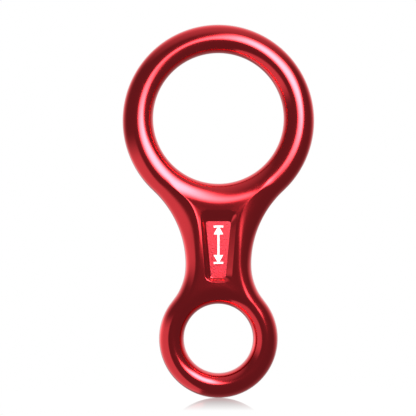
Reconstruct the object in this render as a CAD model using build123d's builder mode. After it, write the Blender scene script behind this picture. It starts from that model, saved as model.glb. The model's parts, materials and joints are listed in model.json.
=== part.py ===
"""Figure-eight rope descender: a forged aluminium body and the mark inlaid in it.

Frame: +Z is up along the length with the large rope eye on top, the thickness
lies along Y, and the face that carries the mark looks towards -Y.  The origin
is the centre of the small carabiner eye, halfway through the thickness.
All sizes are in millimetres.
"""

import os
from math import hypot

from build123d import *

# ---------------------------------------------------------------- overall sizes
LENGTH = 146.0  # over both rings
BIG_RING_D = 75.0  # outside of the large ring
BIG_EYE_D = 51.0  # the rope eye
SMALL_RING_D = 46.5  # outside of the small ring
SMALL_EYE_D = 27.0  # the carabiner eye
THICKNESS = 12.0
WAIST_WIDTH = 25.8  # narrowest part of the shank
WAIST_SHARE = 0.339  # waist height as a share of the distance between the rings
BIG_EYE_RAISE = 0.8  # the rope eye sits this far above its ring's own centre

# ---------------------------------------------------------------- edge rounding
EDGE_LAND = 0.5  # flat left at mid-thickness on the outside edge
EYE_LAND = 2.0  # straight wall left at mid-thickness inside each eye
CROWN_FLAT = 0.4  # flat left on the face where a ring is narrowest
OUTER_ROUND_SHARE = 0.6  # most of the narrowest ring that the outside rounding may take

# ---------------------------------------------------------------- shank pocket
POCKET_BELOW_EYE = 9.1  # metal between the rope eye and the pocket
POCKET_ABOVE_EYE = 9.2  # metal between the carabiner eye and the pocket
MOUTH_TOP_SHARE = 0.541  # mouth width at the top, as a share of the waist width
MOUTH_BOTTOM_SHARE = 0.373
FLOOR_TOP_SHARE = 0.400  # floor width at the top, as a share of the waist width
FLOOR_BOTTOM_SHARE = 0.243
TOP_WALL_SHARE = 0.143  # run of the upper wall, as a share of the mouth height
BOTTOM_WALL_SHARE = 0.037
POCKET_DEPTH_SHARE = 0.15  # depth of each pocket, as a share of the thickness
POCKET_CORNER_R = 1.6
POCKET_MOUTH_R = 1.1
POCKET_FLOOR_R = 0.5
CORNER_LIMIT_SHARE = 0.25  # most of the floor height that a corner may take

# ---------------------------------------------------------------- inlaid mark
MARK_DEPTH = 0.2
MARK_LENGTH_SHARE = 0.63  # of the floor height
MARK_RAISE_SHARE = 0.05  # of the floor height, from the floor's middle up to the mark's
MARK_HEAD_SHARE = 0.6  # head width, as a share of the floor's bottom width
MARK_HEAD_LENGTH_SHARE = 0.36  # of half the mark's length
MARK_BAR_SHARE = 0.1  # bar across each arrow tip, of half the mark's length
MARK_SHAFT_SHARE = 0.2  # shaft width, as a share of the head width

# ---------------------------------------------------------------- derived sizes
HALF_T = THICKNESS / 2
BIG_RING_R = BIG_RING_D / 2
SMALL_RING_R = SMALL_RING_D / 2
BIG_EYE_R = BIG_EYE_D / 2
SMALL_EYE_R = SMALL_EYE_D / 2
HALF_WAIST = WAIST_WIDTH / 2
BIG_RING_BAND = BIG_RING_R - BIG_EYE_R - BIG_EYE_RAISE  # the narrowest, at the top
SMALL_RING_BAND = SMALL_RING_R - SMALL_EYE_R
OUTER_ROUND = min(HALF_T - EDGE_LAND / 2, OUTER_ROUND_SHARE * min(BIG_RING_BAND, SMALL_RING_BAND))
BIG_EYE_ROUND = BIG_RING_BAND - OUTER_ROUND - CROWN_FLAT
SMALL_EYE_ROUND = SMALL_RING_BAND - OUTER_ROUND - CROWN_FLAT
EYE_ROUND_DEPTH = HALF_T - EYE_LAND / 2
BIG_RING_Z = LENGTH - BIG_RING_R - SMALL_RING_R
BIG_EYE_Z = BIG_RING_Z + BIG_EYE_RAISE
WAIST_Z = WAIST_SHARE * BIG_RING_Z

MOUTH_TOP_Z = BIG_EYE_Z - BIG_EYE_R - POCKET_BELOW_EYE
MOUTH_BOTTOM_Z = SMALL_EYE_R + POCKET_ABOVE_EYE
MOUTH_HEIGHT = MOUTH_TOP_Z - MOUTH_BOTTOM_Z
FLOOR_TOP_Z = MOUTH_TOP_Z - TOP_WALL_SHARE * MOUTH_HEIGHT
FLOOR_BOTTOM_Z = MOUTH_BOTTOM_Z + BOTTOM_WALL_SHARE * MOUTH_HEIGHT
MOUTH_WIDTHS = (MOUTH_TOP_SHARE * WAIST_WIDTH, MOUTH_BOTTOM_SHARE * WAIST_WIDTH)
FLOOR_WIDTHS = (FLOOR_TOP_SHARE * WAIST_WIDTH, FLOOR_BOTTOM_SHARE * WAIST_WIDTH)
POCKET_DEPTH = POCKET_DEPTH_SHARE * THICKNESS
FLOOR_Y = HALF_T - POCKET_DEPTH

FLOOR_HEIGHT = FLOOR_TOP_Z - FLOOR_BOTTOM_Z
CORNER_ROUND = min(POCKET_CORNER_R, CORNER_LIMIT_SHARE * FLOOR_HEIGHT)
MARK_Z = (FLOOR_TOP_Z + FLOOR_BOTTOM_Z) / 2 + MARK_RAISE_SHARE * FLOOR_HEIGHT
HALF_MARK = MARK_LENGTH_SHARE * FLOOR_HEIGHT / 2
HALF_HEAD = MARK_HEAD_SHARE * FLOOR_BOTTOM_SHARE * WAIST_WIDTH / 2
HALF_SHAFT = MARK_SHAFT_SHARE * HALF_HEAD

OVERCUT = 1.0  # how far cutters reach past the faces they open
TINY = 0.001  # slack for comparing positions


def side_arc_radius(ring_r: float, ring_to_waist: float) -> float:
    """Radius of the hollow side arc that touches a ring and is upright at the waist."""
    return (HALF_WAIST**2 + ring_to_waist**2 - ring_r**2) / (2 * (ring_r - HALF_WAIST))


def touch_point(ring_r: float, ring_z: float, arc_r: float) -> tuple[float, float]:
    """The point on the right where a side arc meets its ring's circle."""
    run = HALF_WAIST + arc_r
    rise = WAIST_Z - ring_z
    reach = hypot(run, rise)
    return (run * ring_r / reach, ring_z + rise * ring_r / reach)


def arc_middle(arc_r: float, end: tuple[float, float]) -> tuple[float, float]:
    """The point halfway along a side arc, between the waist and the point ``end``."""
    centre_x = HALF_WAIST + arc_r
    chord_x = (HALF_WAIST + end[0]) / 2 - centre_x
    chord_z = (end[1] - WAIST_Z) / 2
    stretch = arc_r / hypot(chord_x, chord_z)
    return (centre_x + chord_x * stretch, WAIST_Z + chord_z * stretch)


def mirrored(point: tuple[float, float]) -> tuple[float, float]:
    """The same point on the left side."""
    return (-point[0], point[1])


def draw_outline() -> None:
    """Draw the closed outline: two ring arcs joined by two hollow arcs a side."""
    upper_r = side_arc_radius(BIG_RING_R, BIG_RING_Z - WAIST_Z)
    lower_r = side_arc_radius(SMALL_RING_R, WAIST_Z)
    upper_end = touch_point(BIG_RING_R, BIG_RING_Z, upper_r)
    lower_end = touch_point(SMALL_RING_R, 0.0, lower_r)
    upper_mid = arc_middle(upper_r, upper_end)
    lower_mid = arc_middle(lower_r, lower_end)
    waist = (HALF_WAIST, WAIST_Z)
    ThreePointArc(upper_end, (0, BIG_RING_Z + BIG_RING_R), mirrored(upper_end))
    ThreePointArc(mirrored(upper_end), mirrored(upper_mid), mirrored(waist))
    ThreePointArc(mirrored(waist), mirrored(lower_mid), mirrored(lower_end))
    ThreePointArc(mirrored(lower_end), (0, -SMALL_RING_R), lower_end)
    ThreePointArc(lower_end, lower_mid, waist)
    ThreePointArc(waist, upper_mid, upper_end)


def draw_eye_section(eye_r: float, round_width: float) -> None:
    """Draw half the section cut away for an eye, to be turned about the eye's axis."""
    rim_r = eye_r + round_width
    half_land = EYE_LAND / 2
    top = HALF_T + OVERCUT
    Line((eye_r, -half_land), (eye_r, half_land))
    EllipticalCenterArc((rim_r, half_land), round_width, EYE_ROUND_DEPTH, 90, arc_size=90)
    Polyline((rim_r, HALF_T), (rim_r, top), (0, top), (0, -top), (rim_r, -top), (rim_r, -HALF_T))
    EllipticalCenterArc((rim_r, -half_land), round_width, EYE_ROUND_DEPTH, 180, arc_size=90)


def draw_trapezoid(top_width: float, bottom_width: float, top_z: float, bottom_z: float) -> None:
    """Draw a four-sided pocket outline, symmetric about X = 0."""
    top = (top_width / 2, top_z)
    bottom = (bottom_width / 2, bottom_z)
    Polyline(mirrored(top), top, bottom, mirrored(bottom), close=True)


def draw_mark() -> None:
    """Draw the load-direction mark: an upright arrow pointing both ways, barred at its tips."""
    tip = MARK_Z + HALF_MARK
    bar = tip - MARK_BAR_SHARE * HALF_MARK
    neck = bar - MARK_HEAD_LENGTH_SHARE * HALF_MARK
    right = [
        (HALF_HEAD, tip),
        (HALF_HEAD, bar),
        (HALF_SHAFT, bar),
        (HALF_HEAD, neck),
        (HALF_SHAFT, neck),
    ]
    below = [(x, 2 * MARK_Z - z) for x, z in reversed(right)]
    side = right + below
    Polyline(*side, *[mirrored(p) for p in reversed(side)], close=True)


def in_pocket(edge: Edge) -> bool:
    """Whether an edge lies within the mouth of a pocket, above its floor or on it."""
    spot = edge.center()
    across = abs(spot.X) <= MOUTH_TOP_SHARE * WAIST_WIDTH / 2 + TINY
    along = MOUTH_BOTTOM_Z - TINY <= spot.Z <= MOUTH_TOP_Z + TINY
    return across and along and abs(spot.Y) >= FLOOR_Y - TINY


os.makedirs("parts", exist_ok=True)
FRONT = Plane.XZ  # local x is X, local y is Z, and its normal is -Y
BACK = Plane(origin=(0, 0, 0), x_dir=(-1, 0, 0), z_dir=(0, 1, 0))  # its normal is +Y

# ---------------------------------------------------------------- descender body
with BuildPart() as descender_body:
    with BuildSketch(FRONT):
        with BuildLine():
            draw_outline()
        make_face()
    extrude(amount=HALF_T, both=True)
    rim = descender_body.faces().sort_by(Axis.Y)
    fillet(rim[0].edges() + rim[-1].edges(), OUTER_ROUND)

    for eye_r, eye_z, width in (
        (BIG_EYE_R, BIG_EYE_Z, BIG_EYE_ROUND),
        (SMALL_EYE_R, 0.0, SMALL_EYE_ROUND),
    ):
        with BuildSketch(Plane.XY.offset(eye_z)):
            with BuildLine():
                draw_eye_section(eye_r, width)
            make_face()
        revolve(axis=Axis((0, 0, eye_z), (0, 1, 0)), mode=Mode.SUBTRACT)

    for face_plane in (FRONT, BACK):
        with BuildSketch(face_plane.offset(HALF_T)):
            with BuildLine():
                draw_trapezoid(*MOUTH_WIDTHS, MOUTH_TOP_Z, MOUTH_BOTTOM_Z)
            make_face()
        with BuildSketch(face_plane.offset(FLOOR_Y)):
            with BuildLine():
                draw_trapezoid(*FLOOR_WIDTHS, FLOOR_TOP_Z, FLOOR_BOTTOM_Z)
            make_face()
        loft(mode=Mode.SUBTRACT)
    pocket_edges = descender_body.edges().filter_by(in_pocket)
    corners = pocket_edges.filter_by(lambda e: FLOOR_Y + TINY < abs(e.center().Y) < HALF_T - TINY)
    fillet(corners, CORNER_ROUND)
    pocket_edges = descender_body.edges().filter_by(in_pocket)
    fillet(pocket_edges.filter_by(lambda e: abs(e.center().Y) < FLOOR_Y + TINY), POCKET_FLOOR_R)
    pocket_edges = descender_body.edges().filter_by(in_pocket)
    fillet(pocket_edges.filter_by(lambda e: abs(e.center().Y) > HALF_T - TINY), POCKET_MOUTH_R)

    with BuildSketch(FRONT.offset(FLOOR_Y)):
        with BuildLine():
            draw_mark()
        make_face()
    extrude(amount=-MARK_DEPTH, mode=Mode.SUBTRACT)

# ---------------------------------------------------------------- load mark
with BuildPart() as load_mark:
    with BuildSketch(FRONT.offset(FLOOR_Y)):
        with BuildLine():
            draw_mark()
        make_face()
    extrude(amount=-MARK_DEPTH)

descender_body.part.label = "descender_body"
load_mark.part.label = "load_mark"
export_step(descender_body.part, "parts/descender_body.step")
export_step(load_mark.part, "parts/load_mark.step")
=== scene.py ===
"""Figure-eight rope descender: the polished body, its inlaid mark and the studio around it.

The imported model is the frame: +Z is up along the length, the marked face looks
towards -Y, and the origin is the centre of the small carabiner eye.  Lengths
are in metres, and MM turns a millimetre size into them.
"""

import json
import logging
import math
from collections.abc import Callable
from dataclasses import astuple, dataclass
from enum import Enum

import bmesh
import bpy
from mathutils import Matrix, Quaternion, Vector

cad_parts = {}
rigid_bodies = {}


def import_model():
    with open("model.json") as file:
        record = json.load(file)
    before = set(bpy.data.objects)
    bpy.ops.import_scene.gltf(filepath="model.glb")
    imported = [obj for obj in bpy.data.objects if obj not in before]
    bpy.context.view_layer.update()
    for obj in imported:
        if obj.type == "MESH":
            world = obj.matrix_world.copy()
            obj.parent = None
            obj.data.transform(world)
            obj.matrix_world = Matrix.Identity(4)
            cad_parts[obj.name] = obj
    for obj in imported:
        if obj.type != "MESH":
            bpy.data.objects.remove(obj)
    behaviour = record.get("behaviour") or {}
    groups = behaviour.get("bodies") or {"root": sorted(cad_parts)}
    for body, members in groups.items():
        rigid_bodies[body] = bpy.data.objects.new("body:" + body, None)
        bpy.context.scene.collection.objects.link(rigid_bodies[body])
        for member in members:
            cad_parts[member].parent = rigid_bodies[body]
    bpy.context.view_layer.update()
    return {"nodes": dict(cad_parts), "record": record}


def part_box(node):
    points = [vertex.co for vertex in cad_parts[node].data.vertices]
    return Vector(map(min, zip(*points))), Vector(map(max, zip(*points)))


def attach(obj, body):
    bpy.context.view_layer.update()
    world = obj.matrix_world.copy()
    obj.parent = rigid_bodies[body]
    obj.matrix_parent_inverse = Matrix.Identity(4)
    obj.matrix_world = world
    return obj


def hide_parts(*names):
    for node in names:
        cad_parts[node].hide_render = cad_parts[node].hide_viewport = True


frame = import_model()

LOG = logging.getLogger("descender")
MM = 0.001
MICRON = MM / 1000  # slack for merging and comparing places
BODY_NODE = "descender_body"
MARK_NODE = "load_mark"

Grid = dict[tuple[int, int], Vector]


# --- the outline
@dataclass(frozen=True)
class Outline:
    """The outside edge seen from the front: two rings joined by hollow side arcs."""

    big_r: float
    big_z: float
    small_r: float
    half_waist: float
    waist_z: float

    def side_arc(self, ring_r: float, ring_z: float) -> tuple[float, float]:
        """Find the hollow arc that touches a ring and is upright at the waist.

        Args:
            ring_r: Radius of the ring's outside.
            ring_z: Height of the ring's centre.

        Returns:
            The distance of the arc's centre from the middle line, and its radius.
        """
        rise = self.waist_z - ring_z
        radius = (self.half_waist**2 + rise**2 - ring_r**2) / (2 * (ring_r - self.half_waist))
        return self.half_waist + radius, radius

    def nearest(self, point: Vector) -> Vector:
        """Find the point of the outside edge that is nearest to a point of the face.

        Args:
            point: A point inside the outline; only its X and Z count.

        Returns:
            The nearest edge point, at mid-thickness.
        """
        side = 1.0 if point.x >= 0 else -1.0
        upper = point.z >= self.waist_z
        ring_r, ring_z = (self.big_r, self.big_z) if upper else (self.small_r, 0.0)
        arc_x, arc_r = self.side_arc(ring_r, ring_z)
        turn = arc_x * (point.z - ring_z) - (self.waist_z - ring_z) * abs(point.x)
        on_arc = turn < 0 if upper else turn > 0
        centre = Vector((side * arc_x, 0, self.waist_z)) if on_arc else Vector((0, 0, ring_z))
        radius = arc_r if on_arc else ring_r
        flat = Vector((point.x, 0, point.z))
        return centre + (flat - centre).normalized() * radius


CROWN_SHARE = 0.52  # how far across its ring a crown lies, from the eye outwards


@dataclass(frozen=True)
class Eye:
    """One of the two round eyes and the rounded ring that runs round it."""

    centre_z: float
    radius: float
    spokes: int
    ring_r: float
    ring_drop: float  # how far the ring's own centre lies from the eye's, towards the shank
    towards_shank: float  # -1 where the shank is below the eye, +1 where it is above
    neck_round: float  # width of the rounding where the eye meets the shank
    neck_spread: float  # angle from the shank over which that width fades out

    def crown_radius(self, angle: float) -> float:
        """Give the radius of the ring's crown, its highest line, at an angle.

        Args:
            angle: Angle round the eye from straight towards the shank.

        Returns:
            Distance from the eye's axis to the crown.
        """
        band = self.ring_r - self.radius + self.ring_drop * math.cos(angle)
        share = min(abs(angle) / self.neck_spread, 1.0)
        neck = math.cos(share * math.pi / 2) ** 2
        return self.radius + (1 - neck) * CROWN_SHARE * band + neck * self.neck_round

    def angle_of(self, point: Vector) -> float:
        """Give a point's angle round the eye, from straight towards the shank."""
        return math.atan2(point.x, (point.z - self.centre_z) * self.towards_shank)

    def at(self, angle: float, radius: float, y: float) -> Vector:
        """Give the point at an angle from the shank, a radius and a depth."""
        rise = self.towards_shank * math.cos(angle) * radius
        return Vector((math.sin(angle) * radius, y, self.centre_z + rise))


# --- edit-mode helpers
def start_editing(obj: bpy.types.Object) -> None:
    """Select one object alone and enter its edit mode with nothing selected in it.

    Args:
        obj: The object.
    """
    if bpy.context.object and bpy.context.object.mode != "OBJECT":
        bpy.ops.object.mode_set(mode="OBJECT")
    bpy.ops.object.select_all(action="DESELECT")
    bpy.context.view_layer.objects.active = obj
    obj.select_set(True)
    bpy.ops.object.mode_set(mode="EDIT")
    bpy.ops.mesh.select_all(action="DESELECT")


def select_edges(obj: bpy.types.Object, wanted: Callable[[bmesh.types.BMEdge], bool]) -> None:
    """Select just the edges that pass a test, in edit mode.

    Args:
        obj: The object in edit mode.
        wanted: Tells whether an edge is to be selected.
    """
    bpy.ops.mesh.select_mode(type="EDGE")
    bpy.ops.mesh.select_all(action="DESELECT")
    mesh = bmesh.from_edit_mesh(obj.data)
    chosen = [edge for edge in mesh.edges if wanted(edge)]
    for edge in chosen:
        edge.select_set(True)
    bmesh.update_edit_mesh(obj.data)


def place_selected(obj: bpy.types.Object, move: Callable[[Vector], Vector]) -> None:
    """Move each selected vertex to where a rule puts it, in edit mode.

    Args:
        obj: The object in edit mode.
        move: Gives a vertex's new place from its old one.
    """
    mesh = bmesh.from_edit_mesh(obj.data)
    for vertex in mesh.verts:
        if vertex.select:
            vertex.co = move(vertex.co.copy())
    bmesh.update_edit_mesh(obj.data)


def apply_modifier(obj: bpy.types.Object, kind: str, **settings: object) -> None:
    """Add a modifier with its settings and apply it at once.

    Args:
        obj: The object that gets it.
        kind: The modifier's type, such as MIRROR.
        **settings: The modifier's settings by name.
    """
    modifier = obj.modifiers.new(kind.title(), kind)
    for name, value in settings.items():
        setattr(modifier, name, value)
    bpy.context.view_layer.objects.active = obj
    bpy.ops.object.modifier_apply(modifier=modifier.name)


# --- the pocket
@dataclass(frozen=True)
class Trapezoid:
    """A round-cornered four-sided outline, upright and symmetric about X = 0."""

    top_half: float
    bottom_half: float
    top_z: float
    bottom_z: float
    corner_r: float

    def towards(self, other: "Trapezoid", share: float) -> "Trapezoid":
        """Give the outline part of the way from this one to another."""
        pairs = zip(astuple(self), astuple(other))
        return Trapezoid(*[a + (b - a) * share for a, b in pairs])

    def clearance(self, x: float, z: float) -> float:
        """Measure how far a point lies outside the straight sides.

        Args:
            x: The point's X.
            z: The point's Z.

        Returns:
            The distance, less than 0 inside the sides.
        """
        drop = (self.top_z - z) / (self.top_z - self.bottom_z)
        half = self.top_half + (self.bottom_half - self.top_half) * min(max(drop, 0.0), 1.0)
        return max(abs(x) - half, z - self.top_z, self.bottom_z - z)

    def point(self, across: float, down: float, columns: int, rows: int) -> tuple[float, float]:
        """Map a place in a grid of cells onto the outline and its inside.

        Args:
            across: Column line, from minus to plus half the columns.
            down: Row line, from 0 at the top.
            columns: Number of cells across.
            rows: Number of cells down.

        Returns:
            The X and Z of that place.
        """
        corner_cut = self.corner_r * (1 - math.sqrt(0.5))
        height = self.top_z - self.bottom_z
        at_side = abs(across) == columns / 2
        at_end = down in (0, rows)
        drop = spaced(down, rows, self.corner_r / height, corner_cut / height)
        half = self.top_half + (self.bottom_half - self.top_half) * drop
        along = 2 * spaced(
            across + columns / 2, columns, self.corner_r / (2 * half), corner_cut / (2 * half)
        )
        x = half * (along - 1)
        z = self.top_z - height * drop
        if at_side and not at_end:
            x = math.copysign(half, across)
        if at_end and not at_side:
            z = self.top_z if down == 0 else self.bottom_z
        return x, z


def spaced(step: float, steps: int, arc: float, cut: float) -> float:
    """Space grid lines along a side whose ends are rounded.

    Args:
        step: Number of the line, from 0.
        steps: Number of the last line.
        arc: Share of the side that each rounded corner takes.
        cut: How far the corner's middle stands in from the side's end, as a share.

    Returns:
        The line's place, from 0 to 1.
    """
    if step == 0:
        return cut
    if step == steps:
        return 1 - cut
    return arc + (1 - 2 * arc) * (step - 1) / (steps - 2)


# --- the body
POCKET_WALL = (  # share of the wall's run, and of its depth, for each loop
    (0.1, 0.04),
    (0.26, 0.2),
    (0.5, 0.5),
    (0.74, 0.8),
    (0.92, 0.97),
    (1.0, 1.0),
)
PRESS_ROUNDS = 8  # passes that bring the rounded surface onto the points laid out
BULGE_SHARE = 0.25  # how far down the shank's side its rounding is widest
BULGE_FADE = 0.33  # share of the side over which it narrows again below that
BLEND_FROM = 0.5  # share of the half thickness at which blending starts
BLEND_FULL = 0.85
BLEND_MARGIN = 0.3 * MM  # distance from the pocket's mouth at which it is at its full
BODY_SLOT = 0
FLOOR_SLOT = 1


@dataclass
class DescenderBody:
    """The polished forging, built as a cage of quads and rounded by subdivision."""

    outline: Outline
    rope_eye: Eye
    carabiner_eye: Eye
    half_thickness: float
    mouth: Trapezoid
    floor: Trapezoid
    pocket_depth: float
    mouth_drop: float = 0.25 * MM  # how far the mouth's rim lies below the crowns
    columns: int = 16  # cells across the shank, from side crown to side crown
    rows: int = 16  # cells down the shank, from one eye's crown to the other's
    pocket_columns: int = 10
    pocket_top_row: int = 2
    edge_steps: int = 4  # loops from a crown over to mid-thickness
    smooth_levels: int = 2
    side_bulge: float = 3.4 * MM  # how much wider the side rounding is beside the neck
    blend_rounds: int = 100
    blend_factor: float = 0.5

    def build(self) -> bpy.types.Object:
        """Build the body's mesh.

        Returns:
            The finished object, at the origin and in the row frame.
        """
        body = self.draw_crowns()
        places = self.bridge_shank(body)
        self.sink_pocket(body, places)
        self.roll_outer_edge(body)
        self.roll_eye_edges(body)
        bpy.ops.object.mode_set(mode="OBJECT")
        apply_modifier(body, "MIRROR", use_axis=(False, True, False), merge_threshold=MICRON)
        start_editing(body)
        bpy.ops.mesh.select_all(action="SELECT")
        bpy.ops.mesh.normals_make_consistent(inside=False)
        bpy.ops.object.mode_set(mode="OBJECT")
        self.press_to_surface(body.data)
        apply_modifier(
            body, "SUBSURF", levels=self.smooth_levels, render_levels=self.smooth_levels
        )
        self.blend_face(body)
        bpy.ops.object.shade_smooth()
        return body

    def blend_face(self, body: bpy.types.Object) -> None:
        """Blend the roundings into the face of the shank and the necks, as polishing does.

        Args:
            body: The rounded body, in object mode.
        """
        group = body.vertex_groups.new(name="blended")
        for vertex in body.data.vertices:
            group.add([vertex.index], self.blend_share(vertex.co), "REPLACE")
        apply_modifier(
            body,
            "SMOOTH",
            factor=self.blend_factor,
            iterations=self.blend_rounds,
            vertex_group=group.name,
        )
        body.vertex_groups.clear()

    def dress(self, body: bpy.types.Object, effects: "Effects") -> None:
        """Give the body its polished finish and the pocket floors their blasted one."""
        dress(body, {BODY_SLOT: Finish.POLISHED, FLOOR_SLOT: Finish.BLASTED}, effects)

    def blend_share(self, point: Vector) -> float:
        """Tell how strongly a point of the surface is blended.

        Args:
            point: The point.

        Returns:
            1 on the open face of the shank and necks, 0 in the pocket, on the edges
            and round the rings.
        """
        height = (abs(point.y) / self.half_thickness - BLEND_FROM) / (BLEND_FULL - BLEND_FROM)
        clear = self.mouth.clearance(point.x, point.z) / BLEND_MARGIN
        return max(0.0, min(height, clear, 1.0))

    def draw_crowns(self) -> bpy.types.Object:
        """Draw the crown line of each ring on the front face, as two closed loops.

        Returns:
            The new object, in edit mode.
        """
        bpy.ops.object.select_all(action="DESELECT")
        for eye in (self.rope_eye, self.carabiner_eye):
            bpy.ops.mesh.primitive_circle_add(
                vertices=eye.spokes,
                radius=eye.radius,
                location=(0, -self.half_thickness, eye.centre_z),
                rotation=(math.pi / 2, 0, 0),
            )
            if eye is self.rope_eye:
                body = bpy.context.object
                body.name = "polished_body"
                bpy.ops.object.transform_apply(location=True, rotation=True, scale=True)
                start_editing(body)
        bpy.ops.mesh.select_all(action="SELECT")
        place_selected(body, self.onto_crown)
        return body

    def eye_near(self, point: Vector) -> Eye:
        """Give the eye whose ring a point belongs to."""
        return self.rope_eye if point.z > self.outline.waist_z else self.carabiner_eye

    def onto_crown(self, point: Vector) -> Vector:
        """Move a point along its spoke onto its ring's crown.

        Args:
            point: The point.

        Returns:
            Its place on the crown.
        """
        eye = self.eye_near(point)
        angle = eye.angle_of(point)
        return eye.at(angle, eye.crown_radius(angle), -self.half_thickness)

    def crown_point(self, eye: Eye, column: int) -> Vector:
        """Give the point where a column of the shank's grid starts on an eye's crown."""
        angle = column * 2 * math.pi / eye.spokes
        return eye.at(angle, eye.crown_radius(angle), -self.half_thickness)

    def is_crown_edge(self, edge: bmesh.types.BMEdge) -> bool:
        """Tell whether an edge lies along one of the two crowns."""
        return all((v.co - self.onto_crown(v.co)).length < MICRON for v in edge.verts)

    def faces_shank(self, edge: bmesh.types.BMEdge) -> bool:
        """Tell whether a crown edge is one that the shank's grid joins onto.

        Args:
            edge: An edge of one of the crowns.

        Returns:
            Whether both its ends lie within the grid's columns.
        """
        for vertex in edge.verts:
            eye = self.eye_near(vertex.co)
            reach = (self.columns / 2 + 0.5) * 2 * math.pi / eye.spokes
            if abs(eye.angle_of(vertex.co)) > reach:
                return False
        return True

    def bridge_shank(self, body: bpy.types.Object) -> Grid:
        """Join the two crowns by the shank's grid and lay its points out.

        Args:
            body: The object in edit mode, holding the two crowns.

        Returns:
            The place of each grid point, by column from the middle and row from the top.
        """
        select_edges(body, self.faces_shank)
        bpy.ops.mesh.bridge_edge_loops(number_cuts=self.rows - 1, interpolation="LINEAR")
        straight: Grid = {}
        half = self.columns // 2
        for column in range(-half, half + 1):
            top = self.crown_point(self.rope_eye, column)
            bottom = self.crown_point(self.carabiner_eye, column)
            for row in range(self.rows + 1):
                straight[column, row] = top.lerp(bottom, row / self.rows)
        places = self.shank_places()
        mesh = bmesh.from_edit_mesh(body.data)
        inner = {v for face in mesh.faces for v in face.verts}
        for vertex in inner:
            vertex.co = places[nearest_key(straight, vertex.co)]
        bmesh.update_edit_mesh(body.data)
        return places

    def shank_places(self) -> Grid:
        """Work out where the shank's grid points go on the flat of the face.

        Returns:
            The place of each grid point, by column from the middle and row from the top.
        """
        places: Grid = {}
        half = self.columns // 2
        for column in range(-half, half + 1):
            places[column, 0] = self.crown_point(self.rope_eye, column)
            places[column, self.rows] = self.crown_point(self.carabiner_eye, column)
        for row in range(1, self.rows):
            for side in (-1, 1):
                places[side * half, row] = self.side_crown(side, row / self.rows)
        places.update(self.sunk_block(self.mouth, self.mouth_drop))
        self.fill_between(places)
        return places

    def side_crown(self, side: int, share: float) -> Vector:
        """Give a point of the shank's side crown.

        Args:
            side: -1 for the left, 1 for the right.
            share: How far down the side, from 0 at the large ring to 1 at the small one.

        Returns:
            The crown's place on the front face.
        """
        line = self.outline
        upper_x, upper_r = line.side_arc(line.big_r, line.big_z)
        lower_x, lower_r = line.side_arc(line.small_r, 0.0)
        upper_turn = math.atan2(line.big_z - line.waist_z, upper_x)
        lower_turn = math.atan2(line.waist_z, lower_x)
        upper_length = upper_r * upper_turn
        whole = upper_length + lower_r * lower_turn
        along = share * whole - upper_length
        arc_x, arc_r = (upper_x, upper_r) if along < 0 else (lower_x, lower_r)
        turn = -along / arc_r
        first = self.crown_point(self.rope_eye, self.columns // 2)
        last = self.crown_point(self.carabiner_eye, self.columns // 2)
        start_width = (first - line.nearest(first)).xz.length
        end_width = (last - line.nearest(last)).xz.length
        before_bulge = share < BULGE_SHARE
        off_bulge = (share - BULGE_SHARE) / (BULGE_SHARE if before_bulge else BULGE_FADE)
        bulge = self.side_bulge * max(0.0, 1 - off_bulge**2) ** 2
        reach = arc_r + start_width + (end_width - start_width) * share + bulge
        x = side * (arc_x - reach * math.cos(turn))
        return Vector((x, -self.half_thickness, line.waist_z + reach * math.sin(turn)))

    def block_rows(self) -> int:
        """Count the cells down the pocket's block."""
        return self.rows - 2 * self.pocket_top_row

    def fill_between(self, places: Grid) -> None:
        """Place the remaining grid points between the mouth and the crowns.

        Args:
            places: The shank's grid, which is filled in.
        """
        half = self.columns // 2
        reach = self.pocket_columns // 2
        top, bottom = self.pocket_top_row, self.rows - self.pocket_top_row
        for row in range(top, bottom + 1):
            for side in (-1, 1):
                for column in range(reach + 1, half):
                    share = (column - reach) / (half - reach)
                    inside = places[side * reach, row]
                    places[side * column, row] = inside.lerp(places[side * half, row], share)
        for column in range(-half + 1, half):
            for row in range(1, top):
                share = row / top
                low, high = places[column, self.rows], places[column, bottom]
                places[column, row] = places[column, 0].lerp(places[column, top], share)
                places[column, self.rows - row] = low.lerp(high, share)

    def sink_pocket(self, body: bpy.types.Object, places: Grid) -> None:
        """Sink the label pocket, loop by loop from its mouth to its floor.

        Args:
            body: The object in edit mode.
            places: Where the shank's grid points are.
        """
        reach = self.pocket_columns // 2
        last = self.rows - self.pocket_top_row
        block = {
            key: place
            for key, place in places.items()
            if abs(key[0]) <= reach and self.pocket_top_row <= key[1] <= last
        }
        bpy.ops.mesh.select_mode(type="FACE")
        bpy.ops.mesh.select_all(action="DESELECT")
        mesh = bmesh.from_edit_mesh(body.data)
        for face in mesh.faces:
            middle = face.calc_center_median()
            column, row = nearest_key(block, middle)
            close = (block[column, row] - middle).length < self.mouth.corner_r
            corners = [nearest_key(places, v.co) in block for v in face.verts]
            face.select_set(close and all(corners))
        bmesh.update_edit_mesh(body.data)
        for across, sunk in POCKET_WALL:
            loop = self.mouth.towards(self.floor, across)
            depth = self.mouth_drop + sunk * (self.pocket_depth - self.mouth_drop)
            deeper = self.sunk_block(loop, depth)
            bpy.ops.mesh.extrude_region_move(TRANSFORM_OT_translate={"value": (0, 0, 0)})
            place_selected(body, lambda co, old=block, new=deeper: new[nearest_key(old, co)])
            block = deeper
        mesh = bmesh.from_edit_mesh(body.data)
        for face in mesh.faces:
            face.material_index = FLOOR_SLOT if face.select else BODY_SLOT
        bmesh.update_edit_mesh(body.data)

    def sunk_block(self, loop: Trapezoid, depth: float) -> Grid:
        """Give the pocket block's places for one loop of its wall.

        Args:
            loop: The wall's outline at this loop.
            depth: How far below the face the loop lies.

        Returns:
            The place of each point of the block.
        """
        places: Grid = {}
        reach = self.pocket_columns // 2
        for column in range(-reach, reach + 1):
            for down in range(self.block_rows() + 1):
                x, z = loop.point(column, down, self.pocket_columns, self.block_rows())
                key = (column, down + self.pocket_top_row)
                places[key] = Vector((x, depth - self.half_thickness, z))
        return places

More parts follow.
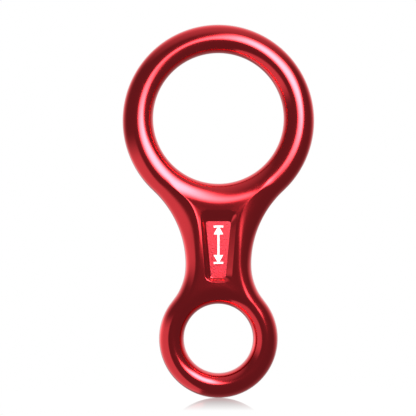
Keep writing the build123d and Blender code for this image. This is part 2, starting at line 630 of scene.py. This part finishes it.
    def roll_outer_edge(self, body: bpy.types.Object) -> None:
        """Roll the outside edge from the crowns over to mid-thickness.

        Args:
            body: The object in edit mode.
        """
        select_edges(
            body, lambda e: e.is_wire or (e.is_boundary and not self.is_crown_edge(e))
        )
        for step in range(1, self.edge_steps + 1):
            kept, depth = self.roll_share(step)
            bpy.ops.mesh.extrude_edges_move(TRANSFORM_OT_translate={"value": (0, 0, 0)})

            def outwards(point: Vector, kept: float = kept, depth: float = depth) -> Vector:
                """Move a point towards the outline and down to its depth.

                Args:
                    point: The point.
                    kept: Share of its distance from the outline that is kept.
                    depth: Its new Y.

                Returns:
                    Its new place.
                """
                edge = self.outline.nearest(point)
                flat = Vector((point.x, 0, point.z))
                return edge + (flat - edge) * kept + Vector((0, depth, 0))

            place_selected(body, outwards)

    def roll_eye_edges(self, body: bpy.types.Object) -> None:
        """Roll each eye's edge from its crown over to mid-thickness.

        Args:
            body: The object in edit mode.
        """
        select_edges(body, self.is_crown_edge)
        for step in range(1, self.edge_steps + 1):
            kept, depth = self.roll_share(step)
            bpy.ops.mesh.extrude_edges_move(TRANSFORM_OT_translate={"value": (0, 0, 0)})

            def inwards(point: Vector, kept: float = kept, depth: float = depth) -> Vector:
                """Move a point towards its eye and down to its depth.

                Args:
                    point: The point.
                    kept: Share of its distance from the eye's edge that is kept.
                    depth: Its new Y.

                Returns:
                    Its new place.
                """
                eye = self.eye_near(point)
                angle = eye.angle_of(point)
                reach = math.hypot(point.x, point.z - eye.centre_z) - eye.radius
                return eye.at(angle, eye.radius + reach * kept, depth)

            place_selected(body, inwards)

    def roll_share(self, step: int) -> tuple[float, float]:
        """Give one step of a rolled edge.

        Args:
            step: The step's number, from 1 to edge_steps.

        Returns:
            The share of the last step's distance from the edge that is kept, and the depth.
        """
        before = math.sin(math.pi / 2 * (step - 1) / self.edge_steps)
        angle = math.pi / 2 * step / self.edge_steps
        kept = (1 - math.sin(angle)) / (1 - before)
        last = step == self.edge_steps
        return kept, 0.0 if last else -self.half_thickness * math.cos(angle)

    def press_to_surface(self, mesh: bpy.types.Mesh) -> None:
        """Move the cage so that the rounded surface passes through the points laid out.

        Args:
            mesh: The cage's mesh, in object mode.
        """
        cage = bmesh.new()
        cage.from_mesh(mesh)
        aims = [vertex.co.copy() for vertex in cage.verts]
        for _ in range(PRESS_ROUNDS):
            shifts = [aim - limit_point(v) for aim, v in zip(aims, cage.verts)]
            for vertex, shift in zip(cage.verts, shifts):
                vertex.co += shift
        cage.to_mesh(mesh)
        cage.free()


def nearest_key(grid: Grid, point: Vector) -> tuple[int, int]:
    """Find which grid point lies nearest to a point."""
    return min(grid, key=lambda key: (grid[key] - point).length_squared)


def limit_point(vertex: bmesh.types.BMVert) -> Vector:
    """Give the point of the fully rounded surface that a cage vertex turns into.

    Args:
        vertex: A vertex of the cage, with quads all round it.

    Returns:
        The point.
    """
    count = len(vertex.link_edges)
    near = Vector()
    for edge in vertex.link_edges:
        near += edge.other_vert(vertex).co
    far = Vector()
    beside = {edge.other_vert(vertex) for edge in vertex.link_edges}
    for face in vertex.link_faces:
        for corner in face.verts:
            if corner is not vertex and corner not in beside:
                far += corner.co
    return (count**2 * vertex.co + 4 * near + far) / (count * (count + 5))


# --- shader node groups
SCUFF_LOW, SCUFF_HIGH = 0.62, 0.72  # only the peaks of the stretched noise are scuffs


def new_group(name: str, inputs: dict[str, float], outputs: list[str]) -> bpy.types.NodeTree:
    """Start a shader node group of plain values.

    Args:
        name: The group's name.
        inputs: Each input's name and default value.
        outputs: The outputs' names.

    Returns:
        The group, holding its input node "In" and output node "Out".
    """
    group = bpy.data.node_groups.new(name, "ShaderNodeTree")
    for label, value in inputs.items():
        socket = group.interface.new_socket(label, in_out="INPUT", socket_type="NodeSocketFloat")
        socket.default_value = value
    for label in outputs:
        group.interface.new_socket(label, in_out="OUTPUT", socket_type="NodeSocketFloat")
    group.nodes.new("NodeGroupInput").name = "In"
    group.nodes.new("NodeGroupOutput").name = "Out"
    return group


def metal_grain_group() -> bpy.types.NodeTree:
    """Build the group that makes a fine grain riding on a slow unevenness.

    Returns:
        A group whose output Height is a mix of fine grain and slow waves.
    """
    group = new_group(
        "metal_grain", {"Grain scale": 4000.0, "Wave scale": 120.0, "Grain share": 0.5}, ["Height"]
    )
    nodes, links = group.nodes, group.links
    place = nodes.new("ShaderNodeTexCoord")
    grain = nodes.new("ShaderNodeTexNoise")
    grain.inputs["Detail"].default_value = 3.0
    wave = nodes.new("ShaderNodeTexNoise")
    wave.inputs["Detail"].default_value = 1.0
    blend = nodes.new("ShaderNodeMix")
    for noise, label in ((grain, "Grain scale"), (wave, "Wave scale")):
        links.new(place.outputs["Object"], noise.inputs["Vector"])
        links.new(nodes["In"].outputs[label], noise.inputs["Scale"])
    links.new(nodes["In"].outputs["Grain share"], blend.inputs["Factor"])
    links.new(wave.outputs["Fac"], blend.inputs["A"])
    links.new(grain.outputs["Fac"], blend.inputs["B"])
    links.new(blend.outputs["Result"], nodes["Out"].inputs["Height"])
    return group


def handling_group() -> bpy.types.NodeTree:
    """Build the group that marks where hands and rope have dulled or rubbed the surface.

    Returns:
        A group with outputs Smudge, slow patches, and Rub, thin scuff lines.
    """
    group = new_group(
        "handling", {"Patch scale": 45.0, "Scuff scale": 260.0, "Stretch": 9.0}, ["Smudge", "Rub"]
    )
    nodes, links = group.nodes, group.links
    place = nodes.new("ShaderNodeTexCoord")
    patches = nodes.new("ShaderNodeTexNoise")
    patches.inputs["Detail"].default_value = 4.0
    patches.inputs["Roughness"].default_value = 0.6
    squeeze = nodes.new("ShaderNodeVectorMath")
    squeeze.operation = "MULTIPLY"
    factors = nodes.new("ShaderNodeCombineXYZ")
    factors.inputs["X"].default_value = 1.0
    factors.inputs["Z"].default_value = 1.0
    scuffs = nodes.new("ShaderNodeTexNoise")
    scuffs.inputs["Detail"].default_value = 2.0
    keep = nodes.new("ShaderNodeMapRange")
    keep.inputs["From Min"].default_value = SCUFF_LOW
    keep.inputs["From Max"].default_value = SCUFF_HIGH
    links.new(place.outputs["Object"], patches.inputs["Vector"])
    links.new(nodes["In"].outputs["Patch scale"], patches.inputs["Scale"])
    links.new(nodes["In"].outputs["Stretch"], factors.inputs["Y"])
    links.new(place.outputs["Object"], squeeze.inputs[0])
    links.new(factors.outputs["Vector"], squeeze.inputs[1])
    links.new(squeeze.outputs["Vector"], scuffs.inputs["Vector"])
    links.new(nodes["In"].outputs["Scuff scale"], scuffs.inputs["Scale"])
    links.new(scuffs.outputs["Fac"], keep.inputs["Value"])
    links.new(patches.outputs["Fac"], nodes["Out"].inputs["Smudge"])
    links.new(keep.outputs["Result"], nodes["Out"].inputs["Rub"])
    return group


@dataclass(frozen=True)
class Effects:
    """The node groups that the finishes share."""

    grain: bpy.types.NodeTree
    handling: bpy.types.NodeTree


# --- finishes
Colour = tuple[float, float, float]
OXIDE_IOR = 1.6
SMUDGE_LOW, SMUDGE_HIGH = 0.35, 0.65  # the smudge noise seldom leaves this range


@dataclass(frozen=True)
class MetalFinish:
    """A dyed, anodised aluminium surface."""

    name: str
    deep: Colour  # where the dye lies thickest
    pale: Colour  # where it is rubbed or thin
    gloss: tuple[float, float]  # roughness of clean and of smudged metal
    scuff_roughness: float  # added where a scuff runs
    sealer: float  # weight of the clear sealed oxide on top
    sealer_roughness: float
    grain_scale: float
    grain_share: float
    bump: float
    bump_height: float

    def build(self, effects: Effects) -> bpy.types.Material:
        """Build the material.

        Args:
            effects: The shared node groups.

        Returns:
            The finished material.
        """
        material = bpy.data.materials.new(self.name)
        material.use_nodes = True
        nodes, links = material.node_tree.nodes, material.node_tree.links
        shader = nodes["Principled BSDF"]
        shader.inputs["Metallic"].default_value = 1.0
        shader.inputs["Coat Weight"].default_value = self.sealer
        shader.inputs["Coat Roughness"].default_value = self.sealer_roughness
        shader.inputs["Coat IOR"].default_value = OXIDE_IOR
        handling = add_group(nodes, effects.handling)
        grain = add_group(nodes, effects.grain)
        grain.inputs["Grain scale"].default_value = self.grain_scale
        grain.inputs["Grain share"].default_value = self.grain_share

        dye = nodes.new("ShaderNodeMix")
        dye.data_type = "RGBA"
        dye.inputs["A"].default_value = (*self.deep, 1)
        dye.inputs["B"].default_value = (*self.pale, 1)
        links.new(handling.outputs["Smudge"], dye.inputs["Factor"])
        links.new(dye.outputs["Result"], shader.inputs["Base Color"])

        dull = nodes.new("ShaderNodeMapRange")
        dull.inputs["From Min"].default_value = SMUDGE_LOW
        dull.inputs["From Max"].default_value = SMUDGE_HIGH
        dull.inputs["To Min"].default_value, dull.inputs["To Max"].default_value = self.gloss
        scuffed = nodes.new("ShaderNodeMath")
        scuffed.operation = "MULTIPLY_ADD"
        scuffed.inputs[1].default_value = self.scuff_roughness
        links.new(handling.outputs["Smudge"], dull.inputs["Value"])
        links.new(handling.outputs["Rub"], scuffed.inputs[0])
        links.new(dull.outputs["Result"], scuffed.inputs[2])
        links.new(scuffed.outputs["Value"], shader.inputs["Roughness"])

        bump = nodes.new("ShaderNodeBump")
        bump.inputs["Strength"].default_value = self.bump
        bump.inputs["Distance"].default_value = self.bump_height
        links.new(grain.outputs["Height"], bump.inputs["Height"])
        links.new(bump.outputs["Normal"], shader.inputs["Normal"])
        return material


@dataclass(frozen=True)
class PaintFinish:
    """White paint wiped into an engraving."""

    name: str
    fresh: Colour
    grubby: Colour
    gloss: tuple[float, float]  # roughness where the smudge noise is 0 and where it is 1
    bump: float
    bump_height: float

    def build(self, effects: Effects) -> bpy.types.Material:
        """Build the material.

        Args:
            effects: The shared node groups.

        Returns:
            The finished material.
        """
        material = bpy.data.materials.new(self.name)
        material.use_nodes = True
        nodes, links = material.node_tree.nodes, material.node_tree.links
        shader = nodes["Principled BSDF"]
        handling = add_group(nodes, effects.handling)
        grain = add_group(nodes, effects.grain)
        tint = nodes.new("ShaderNodeMix")
        tint.data_type = "RGBA"
        tint.inputs["A"].default_value = (*self.fresh, 1)
        tint.inputs["B"].default_value = (*self.grubby, 1)
        links.new(handling.outputs["Rub"], tint.inputs["Factor"])
        links.new(tint.outputs["Result"], shader.inputs["Base Color"])
        sheen = nodes.new("ShaderNodeMapRange")
        sheen.inputs["To Min"].default_value, sheen.inputs["To Max"].default_value = self.gloss
        links.new(handling.outputs["Smudge"], sheen.inputs["Value"])
        links.new(sheen.outputs["Result"], shader.inputs["Roughness"])
        bump = nodes.new("ShaderNodeBump")
        bump.inputs["Strength"].default_value = self.bump
        bump.inputs["Distance"].default_value = self.bump_height
        links.new(grain.outputs["Height"], bump.inputs["Height"])
        links.new(bump.outputs["Normal"], shader.inputs["Normal"])
        return material


def add_group(nodes: bpy.types.Nodes, group: bpy.types.NodeTree) -> bpy.types.ShaderNodeGroup:
    """Place a shared node group in a material.

    Args:
        nodes: The material's nodes.
        group: The group.

    Returns:
        The new group node.
    """
    node = nodes.new("ShaderNodeGroup")
    node.node_tree = group
    return node


class Finish(Enum):
    """The finishes on the descender."""

    POLISHED = MetalFinish(
        name="red_anodise_polished",
        deep=(0.64, 0.016, 0.026),
        pale=(0.72, 0.021, 0.033),
        gloss=(0.14, 0.18),
        scuff_roughness=0.04,
        sealer=0.45,
        sealer_roughness=0.12,
        grain_scale=3000.0,
        grain_share=0.5,
        bump=0.05,
        bump_height=0.03 * MM,
    )
    BLASTED = MetalFinish(
        name="red_anodise_blasted",
        deep=(0.8, 0.025, 0.05),
        pale=(0.92, 0.05, 0.085),
        gloss=(0.55, 0.62),
        scuff_roughness=0.0,
        sealer=0.5,
        sealer_roughness=0.4,
        grain_scale=1700.0,
        grain_share=0.9,
        bump=1.0,
        bump_height=0.9 * MM,
    )
    MARK = PaintFinish(
        name="white_mark_paint",
        fresh=(0.9, 0.9, 0.9),
        grubby=(0.8, 0.72, 0.72),
        gloss=(0.35, 0.55),
        bump=0.3,
        bump_height=0.02 * MM,
    )


def dress(obj: bpy.types.Object, finishes: dict[int, Finish], effects: Effects) -> None:
    """Give an object its finishes.

    Args:
        obj: The object; its faces keep their slot numbers.
        finishes: The finish of each material slot, from slot 0 up.
        effects: The shared node groups.
    """
    slots = obj.data.materials
    for number, finish in finishes.items():
        if number == len(slots):
            slots.append(None)
        slots[number] = finish.value.build(effects)


# --- the mark
@dataclass
class LoadMark:
    """The painted mark in the front pocket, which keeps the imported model's own mesh."""

    node: str = MARK_NODE

    def build(self) -> bpy.types.Object:
        """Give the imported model's mark."""
        return frame["nodes"][self.node]

    def dress(self, mark: bpy.types.Object, effects: Effects) -> None:
        """Give the mark its paint."""
        dress(mark, {0: Finish.MARK}, effects)


# --- studio
@dataclass(frozen=True)
class Softbox:
    """A rectangular light whose brightness fades softly towards its edges."""

    name: str
    place: tuple[float, float, float]
    aim: tuple[float, float, float]
    roll: float  # degrees about the line from its place to its aim
    width: float
    tall: float
    brightness: float  # radiance at its middle, where 1 is white
    fade_across: float  # share of the width over which each side fades
    fade_up: float  # share of the height over which the top and the bottom fade

    def light(self) -> None:
        """Hang the light, unseen by the camera, with its face turned to its aim."""
        lamp = bpy.data.lights.new(self.name, "AREA")
        lamp.shape = "RECTANGLE"
        lamp.size, lamp.size_y = self.width, self.tall
        lamp.energy = self.brightness * math.pi * self.width * self.tall
        self.soften(lamp)
        holder = bpy.data.objects.new(self.name, lamp)
        holder.location = self.place
        back = Vector(self.place) - Vector(self.aim)
        turn = back.to_track_quat("Z", "Y") @ Quaternion((0, 0, 1), math.radians(self.roll))
        holder.rotation_euler = turn.to_euler()
        holder.visible_camera = False
        bpy.context.scene.collection.objects.link(holder)

    def soften(self, lamp: bpy.types.AreaLight) -> None:
        """Make the lamp's brightness fade towards its edges.

        Args:
            lamp: The lamp, whose shader is rebuilt.
        """
        lamp.use_nodes = True
        nodes, links = lamp.node_tree.nodes, lamp.node_tree.links
        emission = nodes["Emission"]
        spot = nodes.new("ShaderNodeNewGeometry")
        split = nodes.new("ShaderNodeSeparateXYZ")
        whole = nodes.new("ShaderNodeMath")
        whole.operation = "MULTIPLY"
        links.new(spot.outputs["Parametric"], split.inputs["Vector"])
        sides = (("X", self.fade_across), ("Y", self.fade_up))
        for number, (axis, fade) in enumerate(sides):
            to_edge = nodes.new("ShaderNodeMath")
            to_edge.operation = "PINGPONG"
            to_edge.inputs[1].default_value = 0.5
            rise = nodes.new("ShaderNodeMapRange")
            rise.interpolation_type = "SMOOTHSTEP"
            rise.inputs["From Max"].default_value = fade
            links.new(split.outputs[axis], to_edge.inputs[0])
            links.new(to_edge.outputs["Value"], rise.inputs["Value"])
            links.new(rise.outputs["Result"], whole.inputs[number])
        links.new(whole.outputs["Value"], emission.inputs["Strength"])


SOFTBOXES = (
    Softbox(
        name="key",
        place=(0.070, -0.17, 0.143),
        aim=(0, 0, 0.06),
        roll=64,
        width=0.26,
        tall=0.19,
        brightness=16.5,
        fade_across=0.46,
        fade_up=0.34,
    ),
    Softbox(
        name="left_fill",
        place=(-0.15, 0, -0.22),
        aim=(0, 0, -0.22),
        roll=0,
        width=0.46,
        tall=0.58,
        brightness=0.72,
        fade_across=0.17,
        fade_up=0.1,
    ),
)


@dataclass
class Studio:
    """The white sweep, its lights and the camera."""

    floor_z: float
    camera_x: float
    camera_z: float
    camera_distance: float = 0.70
    view_width: float = 162.75 * MM  # seen across the frame at the descender
    floor_reach: float = 1.5
    sheen_fades_over: float = 45 * MM
    sheen_stretch: float = 0.4  # what a distance to the side counts for in that fade
    sheen: float = 0.7
    backdrop: float = 1.0
    surround: float = 0.18  # brightness in front, beside the lights
    back_high: float = 1.02
    back_low: float = 0.4
    overhead: float = 0.5
    floor_roughness: float = 0.03
    behind_from: float = -0.1  # Y of a direction where the surroundings turn bright
    behind_full: float = 0.6
    low_from: float = -0.35  # Z of a direction where the brightness behind starts to rise
    low_full: float = 0.1
    overhead_from: float = 0.6  # Z of a direction where the light overhead starts
    clip_start: float = 10 * MM

    def build(self) -> None:
        """Build the floor, the surroundings, the lights and the camera."""
        self.lay_floor()
        self.light_surroundings()
        for softbox in SOFTBOXES:
            softbox.light()
        self.set_camera()

    def lay_floor(self) -> None:
        """Lay the glossy white floor that the descender stands on."""
        bpy.ops.object.select_all(action="DESELECT")
        bpy.ops.mesh.primitive_plane_add(size=2 * self.floor_reach, location=(0, 0, self.floor_z))
        floor = bpy.context.object
        floor.name = "studio_floor"
        material = bpy.data.materials.new("white_floor")
        material.use_nodes = True
        nodes, links = material.node_tree.nodes, material.node_tree.links
        nodes.clear()
        white = nodes.new("ShaderNodeEmission")
        white.inputs["Strength"].default_value = self.backdrop
        mirror = nodes.new("ShaderNodeBsdfGlossy")
        mirror.inputs["Color"].default_value = (1, 1, 1, 1)
        mirror.inputs["Roughness"].default_value = self.floor_roughness
        place = nodes.new("ShaderNodeTexCoord")
        stretch = nodes.new("ShaderNodeVectorMath")
        stretch.operation = "MULTIPLY"
        stretch.inputs[1].default_value = (self.sheen_stretch, 1, 1)
        distance = nodes.new("ShaderNodeVectorMath")
        distance.operation = "LENGTH"
        fade = nodes.new("ShaderNodeMapRange")
        fade.inputs["From Max"].default_value = self.sheen_fades_over
        fade.inputs["To Min"].default_value = self.sheen
        fade.inputs["To Max"].default_value = 0.0
        seen = nodes.new("ShaderNodeMixShader")
        out = nodes.new("ShaderNodeOutputMaterial")
        links.new(place.outputs["Object"], stretch.inputs[0])
        links.new(stretch.outputs["Vector"], distance.inputs[0])
        links.new(distance.outputs["Value"], fade.inputs["Value"])
        links.new(fade.outputs["Result"], seen.inputs["Fac"])
        links.new(white.outputs["Emission"], seen.inputs[1])
        links.new(mirror.outputs["BSDF"], seen.inputs[2])
        links.new(seen.outputs["Shader"], out.inputs["Surface"])
        floor.data.materials.append(material)
        floor.visible_glossy = False  # the lights below it light the underside instead
        floor.visible_diffuse = False

    def light_surroundings(self) -> None:
        """Make the world white behind the descender and dim elsewhere in its reflections."""
        world = bpy.data.worlds.new("studio")
        world.use_nodes = True
        bpy.context.scene.world = world
        nodes, links = world.node_tree.nodes, world.node_tree.links
        background = nodes["Background"]
        background.inputs["Color"].default_value = (1, 1, 1, 1)
        place = nodes.new("ShaderNodeTexCoord")
        split = nodes.new("ShaderNodeSeparateXYZ")
        behind = nodes.new("ShaderNodeMapRange")
        behind.inputs["From Min"].default_value = self.behind_from
        behind.inputs["From Max"].default_value = self.behind_full
        behind.inputs["To Min"].default_value = self.surround
        above = nodes.new("ShaderNodeMapRange")
        above.inputs["From Min"].default_value = self.low_from
        above.inputs["From Max"].default_value = self.low_full
        above.inputs["To Min"].default_value = self.back_low
        above.inputs["To Max"].default_value = self.back_high
        overhead = nodes.new("ShaderNodeMapRange")
        overhead.inputs["From Min"].default_value = self.overhead_from
        overhead.inputs["To Max"].default_value = self.overhead
        around = nodes.new("ShaderNodeMath")
        path = nodes.new("ShaderNodeLightPath")
        direct = nodes.new("ShaderNodeMix")
        direct.inputs["B"].default_value = self.backdrop
        links.new(place.outputs["Generated"], split.inputs["Vector"])
        links.new(split.outputs["Y"], behind.inputs["Value"])
        links.new(split.outputs["Z"], above.inputs["Value"])
        links.new(split.outputs["Z"], overhead.inputs["Value"])
        links.new(above.outputs["Result"], behind.inputs["To Max"])
        links.new(behind.outputs["Result"], around.inputs[0])
        links.new(overhead.outputs["Result"], around.inputs[1])
        links.new(path.outputs["Is Camera Ray"], direct.inputs["Factor"])
        links.new(around.outputs["Value"], direct.inputs["A"])
        links.new(direct.outputs["Result"], background.inputs["Strength"])

    def set_camera(self) -> None:
        """Set the long-lens camera straight in front of the marked face."""
        lens = bpy.data.cameras.new("camera")
        lens.lens = lens.sensor_width * self.camera_distance / self.view_width
        lens.clip_start = self.clip_start
        camera = bpy.data.objects.new("camera", lens)
        camera.location = (self.camera_x, -self.camera_distance, self.camera_z)
        camera.rotation_euler = (math.pi / 2, 0, 0)
        bpy.context.scene.collection.objects.link(camera)
        bpy.context.scene.camera = camera
        bpy.context.scene.view_settings.view_transform = "Standard"


# --- assembly
WAIST_SHARE = 0.339  # waist height as a share of the distance between the rings
FACE_CLEARANCE = 0.02 * MM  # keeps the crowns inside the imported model's faces


def measure_body() -> DescenderBody:
    """Read the body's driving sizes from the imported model.

    Returns:
        The body, ready to build.
    """
    low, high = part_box(BODY_NODE)
    mounts = {mount["name"]: mount for mount in frame["record"]["mounts"]}
    rope, carabiner = mounts["rope_eye"], mounts["carabiner_eye"]
    big_r, small_r = high.x - MICRON, -low.z - MICRON
    big_z = high.z - high.x
    rope_z = rope["pos_m"][2]
    rope_eye = Eye(
        centre_z=rope_z,
        radius=rope["dims"]["r_mm"] * MM,
        spokes=70,
        ring_r=big_r,
        ring_drop=rope_z - big_z,
        towards_shank=-1,
        neck_round=7.2 * MM,
        neck_spread=math.radians(70),
    )
    carabiner_eye = Eye(
        centre_z=0.0,
        radius=carabiner["dims"]["r_mm"] * MM,
        spokes=56,
        ring_r=small_r,
        ring_drop=0.0,
        towards_shank=1,
        neck_round=5.4 * MM,
        neck_spread=math.radians(80),
    )
    return DescenderBody(
        outline=Outline(
            big_r=big_r,
            big_z=big_z,
            small_r=small_r,
            half_waist=12.9 * MM,
            waist_z=WAIST_SHARE * big_z,
        ),
        rope_eye=rope_eye,
        carabiner_eye=carabiner_eye,
        half_thickness=high.y - FACE_CLEARANCE,
        mouth=Trapezoid(
            top_half=7.5 * MM,
            bottom_half=5.25 * MM,
            top_z=50.6 * MM,
            bottom_z=22.1 * MM,
            corner_r=2.5 * MM,
        ),
        floor=Trapezoid(
            top_half=4.83 * MM,
            bottom_half=2.85 * MM,
            top_z=45.8 * MM,
            bottom_z=24.0 * MM,
            corner_r=0.8 * MM,
        ),
        pocket_depth=1.84 * MM,
    )


def main() -> None:
    """Build the descender and its studio."""
    logging.basicConfig(level=logging.INFO, format="%(name)s: %(message)s")
    effects = Effects(metal_grain_group(), handling_group())

    descender = measure_body()
    body = descender.build()
    descender.dress(body, effects)
    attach(body, "root")
    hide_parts(BODY_NODE)
    LOG.info("polished body: %d faces", len(body.data.polygons))

    load_mark = LoadMark()
    mark = load_mark.build()
    load_mark.dress(mark, effects)
    LOG.info("load mark: %d faces", len(mark.data.polygons))

    Studio(
        floor_z=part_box(BODY_NODE)[0].z,
        camera_x=-4.06 * MM,
        camera_z=51.0 * MM,
    ).build()


if __name__ == "__main__":
    main()
